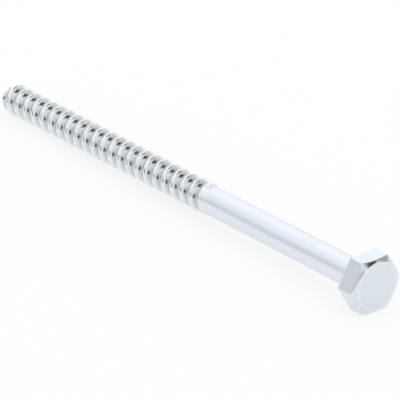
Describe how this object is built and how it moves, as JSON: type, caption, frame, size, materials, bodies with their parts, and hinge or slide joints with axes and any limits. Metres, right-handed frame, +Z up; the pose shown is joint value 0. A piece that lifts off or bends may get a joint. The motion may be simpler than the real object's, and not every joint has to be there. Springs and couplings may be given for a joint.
{
  "type": "lag screw",
  "caption": "Hexagon-head lag screw for wood, with a long plain shank and a coarse thread that ends in a conical point, lying at rest on its head and thread.",
  "frame": {"origin": "centre of the underside of its box, on the surface that the screw lies on", "axes": "+X towards the head, +Z up; the screw's axis lies in the XZ plane and dips 1.18 degrees towards the point, because the head's flat and the thread both touch the surface"},
  "size_m": [0.1848, 0.0196, 0.0171],
  "materials": {
    "zinc_plated_steel": "bright bluish zinc plating on cold-formed steel"
  },
  "bodies": {
    "root": {"lag_screw": "zinc_plated_steel"}
  },
  "joints": []
}
